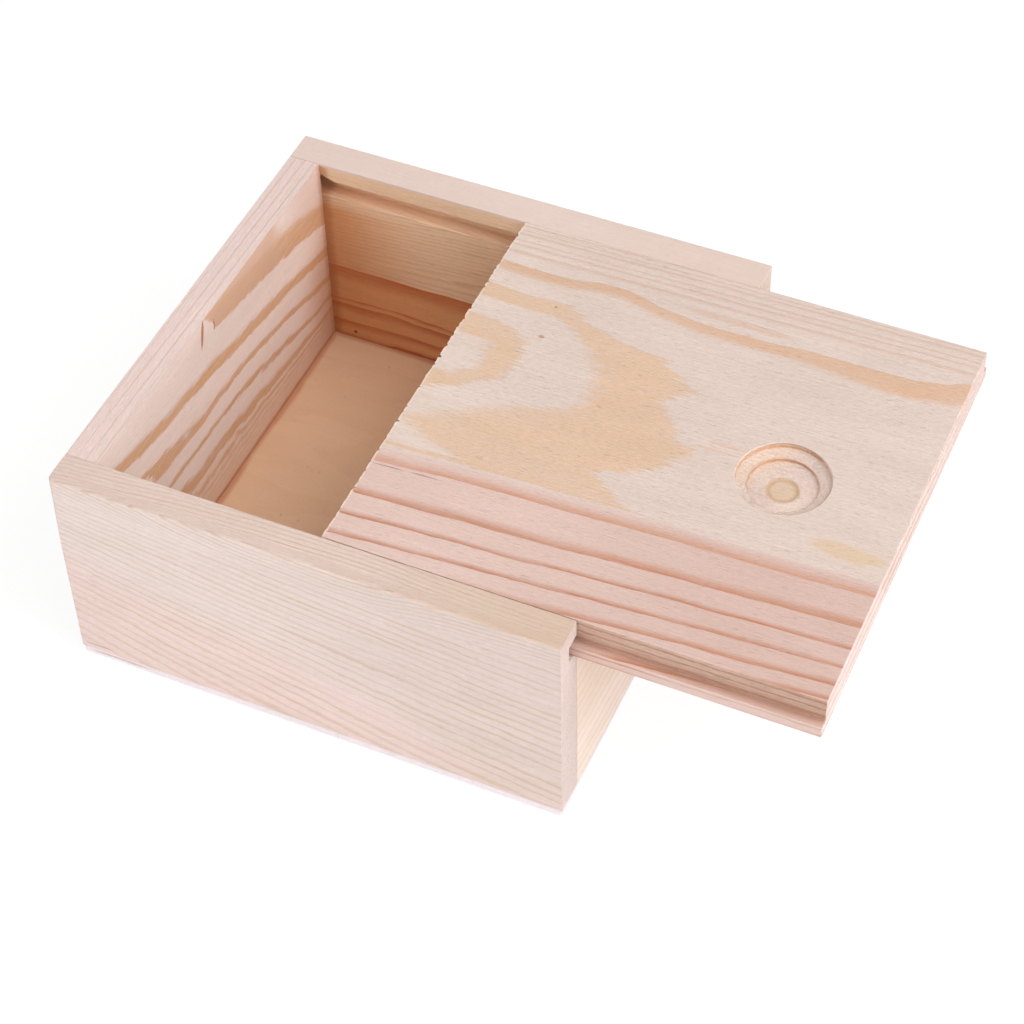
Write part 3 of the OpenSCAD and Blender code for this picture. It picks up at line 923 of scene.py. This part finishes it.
def recess_profile():
    """Section of the finger recess, from its centre out to its eased rim."""
    low = CENTRE_DEPTH - CENTRE_RIM
    rise = low - STEP_DEPTH - STEP_WALL
    dish = [(CENTRE_RADIUS + (STEP_RADIUS - CENTRE_RADIUS) * t, -low + rise * t ** 1.6)
            for t in (0, 0.2, 0.4, 0.6, 0.8, 1.0)]
    return ([(0, -CENTRE_DEPTH + 0.1), (CENTRE_RADIUS * 0.35, -CENTRE_DEPTH),
             (CENTRE_RADIUS - 0.35, -CENTRE_DEPTH)]
            + dish
            + [(STEP_RADIUS, -STEP_DEPTH - 0.15), (STEP_RADIUS + 0.15, -STEP_DEPTH),
               (RECESS_RADIUS - 0.15, -RECESS_WALL - 0.1), (RECESS_RADIUS - 0.02, -RECESS_WALL),
               (RECESS_RADIUS, -RECESS_RIM), (RECESS_RADIUS + 0.08, -0.08),
               (RECESS_RADIUS + RECESS_RIM, 0.02), (RECESS_RADIUS + RECESS_RIM, 1.0), (0, 1.0)])


def saw_the_inner_end(bm):
    """Cuts the last strip of the lid fine, and pushes its end face in and out as a saw leaves it."""
    start = LID_LOW.x
    strip_end = start + SAWN_STRIP
    cut_across(bm, 0, [strip_end, start + 0.5])

    def strip():
        faces = [f for f in bm.faces if f.calc_center_median().x < strip_end]
        edges = {e for f in faces for e in f.edges}
        verts = {v for f in faces for v in f.verts}
        return list(verts) + list(edges) + faces

    for y in steps(LID_LOW.y, LID_HIGH.y, SAWN_PITCH):
        bmesh.ops.bisect_plane(bm, geom=strip(), dist=1e-4, plane_co=(0, y, 0), plane_no=(0, 1, 0))
    for z in steps(LID_LOW.z, LID_HIGH.z, SAWN_DOWN_PITCH):
        bmesh.ops.bisect_plane(bm, geom=strip(), dist=1e-4, plane_co=(0, 0, z), plane_no=(0, 0, 1))
    for v in bm.verts:
        if v.co.x < start + 0.45:
            below_top = LID_HIGH.z - v.co.z
            marks = 0.5 + 0.5 * noise.noise(Vector((v.co.y / 2.6, v.co.z / 9, 3.0)))
            fine = 0.5 + 0.5 * noise.noise(Vector((v.co.y / 0.5, v.co.z / 2.5, 7.0)))
            torn = max(0.0, noise.noise(Vector((v.co.y / 0.9, 0.0, 11.0))) - 0.1)
            torn *= max(0.0, 1 - below_top / 1.6)
            v.co.x += SAW_MARKS * marks + SAW_FUZZ * fine + SAW_TEARS * torn


def make_lid(material):
    low, high = LID_LOW + Vector((0, 0, LID_CLEAR_BELOW)), LID_HIGH
    shoulder = low.z + TONGUE_THICKNESS
    near = low.y + TONGUE_REACH - LID_WIDER_IN_FRONT
    far = high.y - TONGUE_REACH + LID_WIDER_BEHIND
    outline = [(low.y, low.z), (high.y, low.z), (high.y, shoulder), (far, shoulder), (far, high.z),
               (near, high.z), (near, shoulder), (low.y, shoulder)]
    bm = drawn_out(outline, low.x, high.x)
    ease(bm, LID_TOP_EDGE_EASING,
         lambda a, b: b.x > low.x + 1 and not (a.y > far - HAIR and a.z > high.z - HAIR))
    saw_the_inner_end(bm)
    centre = (high.x - RECESS_FROM_OUTER_END, (low.y + high.y) / 2, high.z)
    bm = cut_out(bm, spun(recess_profile(), centre))
    piece = add_piece("lid", bm, material, "lid", "sliding_lid")
    smooth_recess(piece.data, Vector(centre) * MM)
    return piece


def smooth_recess(mesh, centre):
    """Shades the walls of the recess smooth, and keeps the other faces flat."""
    mesh.set_sharp_from_angle(angle=math.radians(35))
    reach = (RECESS_RADIUS + 0.5) * MM
    for face in mesh.polygons:
        offset = face.center - centre
        face.use_smooth = offset.to_2d().length < reach and offset.z < -1e-6


def make_pin_steel():
    material, w, shader = new_material("Pin steel")
    place = w.add("ShaderNodeTexCoord").outputs["Object"]
    drawn = w.noise(w.scaled(place, 9000, 9000, 900))
    w.fill(shader, {"Base Color": colour(168, 168, 172), "Metallic": 1.0,
                    "Roughness": w.sum(0.38, w.times(drawn, 0.2))})
    return material


make_front_board(wood_material("Front board pine", front_figure))
make_rear_board(wood_material("Rear board pine", rear_figure))
make_end_board("tall_end", wood_material("Tall end pine", tall_end_figure), 3.0, END_BOARD_SETTLED)
make_end_board("low_end", wood_material("Low end pine", low_end_figure), 4.0, settled=0.0)
make_bottom_sheet(wood_material("Bottom ply", sheet_figure, bump=0.5))
make_lid(wood_material("Lid pine", lid_figure))
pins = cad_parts["bottom_pins"]
pins.data.materials.clear()
pins.data.materials.append(make_pin_steel())

# ---------------------------------------------------------------- camera

CAMERA_AZIMUTH = math.radians(25.21)
CAMERA_ELEVATION = math.radians(48.06)
CAMERA_ROLL = math.radians(-1.73)
CAMERA_TARGET = Vector((21.7, -3.1, 23.0)) * MM
CAMERA_DISTANCE = 580.5 * MM
CAMERA_LENS = 93.28
SENSOR_WIDTH = 36


def add_camera():
    backward = Vector((math.sin(CAMERA_AZIMUTH) * math.cos(CAMERA_ELEVATION),
                       -math.cos(CAMERA_AZIMUTH) * math.cos(CAMERA_ELEVATION),
                       math.sin(CAMERA_ELEVATION)))
    level = Vector((math.cos(CAMERA_AZIMUTH), math.sin(CAMERA_AZIMUTH), 0))
    upward = backward.cross(level)
    cosine, sine = math.cos(CAMERA_ROLL), math.sin(CAMERA_ROLL)
    right = cosine * level + sine * upward
    up = cosine * upward - sine * level
    data = bpy.data.cameras.new("camera")
    data.lens = CAMERA_LENS
    data.sensor_width = SENSOR_WIDTH
    camera = add_object("camera", data)
    turn = Matrix((right, up, backward)).transposed().to_4x4()
    camera.matrix_world = Matrix.Translation(CAMERA_TARGET + backward * CAMERA_DISTANCE) @ turn
    bpy.context.scene.camera = camera


# ---------------------------------------------------------------- floor and light

FLOOR_HALF_WIDTH = 3.0       # these are in metres
FLOOR_BELOW = 0.0002
FLOOR_GREY = 0.86
FLOOR_GLOW = 1.09            # what the camera sees is mostly this glow, and partly the shadow
FLOOR_GLOW_SHARE = 0.8
WORLD_STRENGTH = 0.20


def add_floor():
    bm = bmesh.new()
    bmesh.ops.create_grid(bm, x_segments=1, y_segments=1, size=FLOOR_HALF_WIDTH)
    bmesh.ops.translate(bm, verts=bm.verts, vec=(0, 0, -FLOOR_BELOW))
    floor = add_mesh("floor", bm)
    material, w, shader = new_material("White table")
    w.fill(shader, {"Base Color": (FLOOR_GREY, FLOOR_GREY, FLOOR_GREY, 1), "Roughness": 0.9})
    glow = w.add("ShaderNodeEmission")
    w.fill(glow, {"Strength": FLOOR_GLOW})
    camera_ray = w.add("ShaderNodeLightPath").outputs["Is Camera Ray"]
    seen = w.made("ShaderNodeMixShader", w.times(camera_ray, FLOOR_GLOW_SHARE), shader.outputs[0],
                  glow.outputs[0])
    w.fill(material.node_tree.nodes["Material Output"], {"Surface": seen})
    floor.data.materials.append(material)


def add_world(strength):
    world = bpy.data.worlds.new("studio")
    bpy.context.scene.world = world
    world.use_nodes = True
    w = Wiring(world.node_tree)
    background = world.node_tree.nodes["Background"]
    camera_ray = w.add("ShaderNodeLightPath").outputs["Is Camera Ray"]
    w.fill(background, {"Color": (1, 1, 1, 1), "Strength": w.line(camera_ray, 1 - strength, strength)})


def add_softbox(name, place, target, size, watts):
    data = bpy.data.lights.new(name, "AREA")
    data.shape = "RECTANGLE"
    data.size, data.size_y = size
    data.energy = watts
    lamp = add_object(name, data)
    lamp.location = place
    lamp.rotation_euler = (Vector(target) - Vector(place)).to_track_quat("-Z", "Y").to_euler()


add_camera()
add_floor()
add_world(WORLD_STRENGTH)
add_softbox("front softbox", (-0.2, -1.2, 0.22), (0.02, 0, 0.03), (1.2, 0.4), 3.3)
add_softbox("left softbox", (-0.6, -0.7, 1.0), (0.0, 0, 0.03), (0.9, 0.9), 4.8)
add_softbox("right softbox", (0.9, -0.25, 0.9), (0.02, 0, 0.03), (1.1, 1.1), 11.8)
add_softbox("low right softbox", (1.2, -0.3, 0.16), (0.05, 0, 0.02), (0.9, 0.26), 2.7)
add_softbox("top softbox", (0.0, 0.0, 1.3), (0.0, 0, 0.03), (1.0, 1.0), 1.3)
add_softbox("rear right softbox", (0.7, 0.35, 0.95), (0.0, 0, 0.03), (0.9, 0.9), 3.3)
bpy.context.scene.view_settings.view_transform = "Standard"
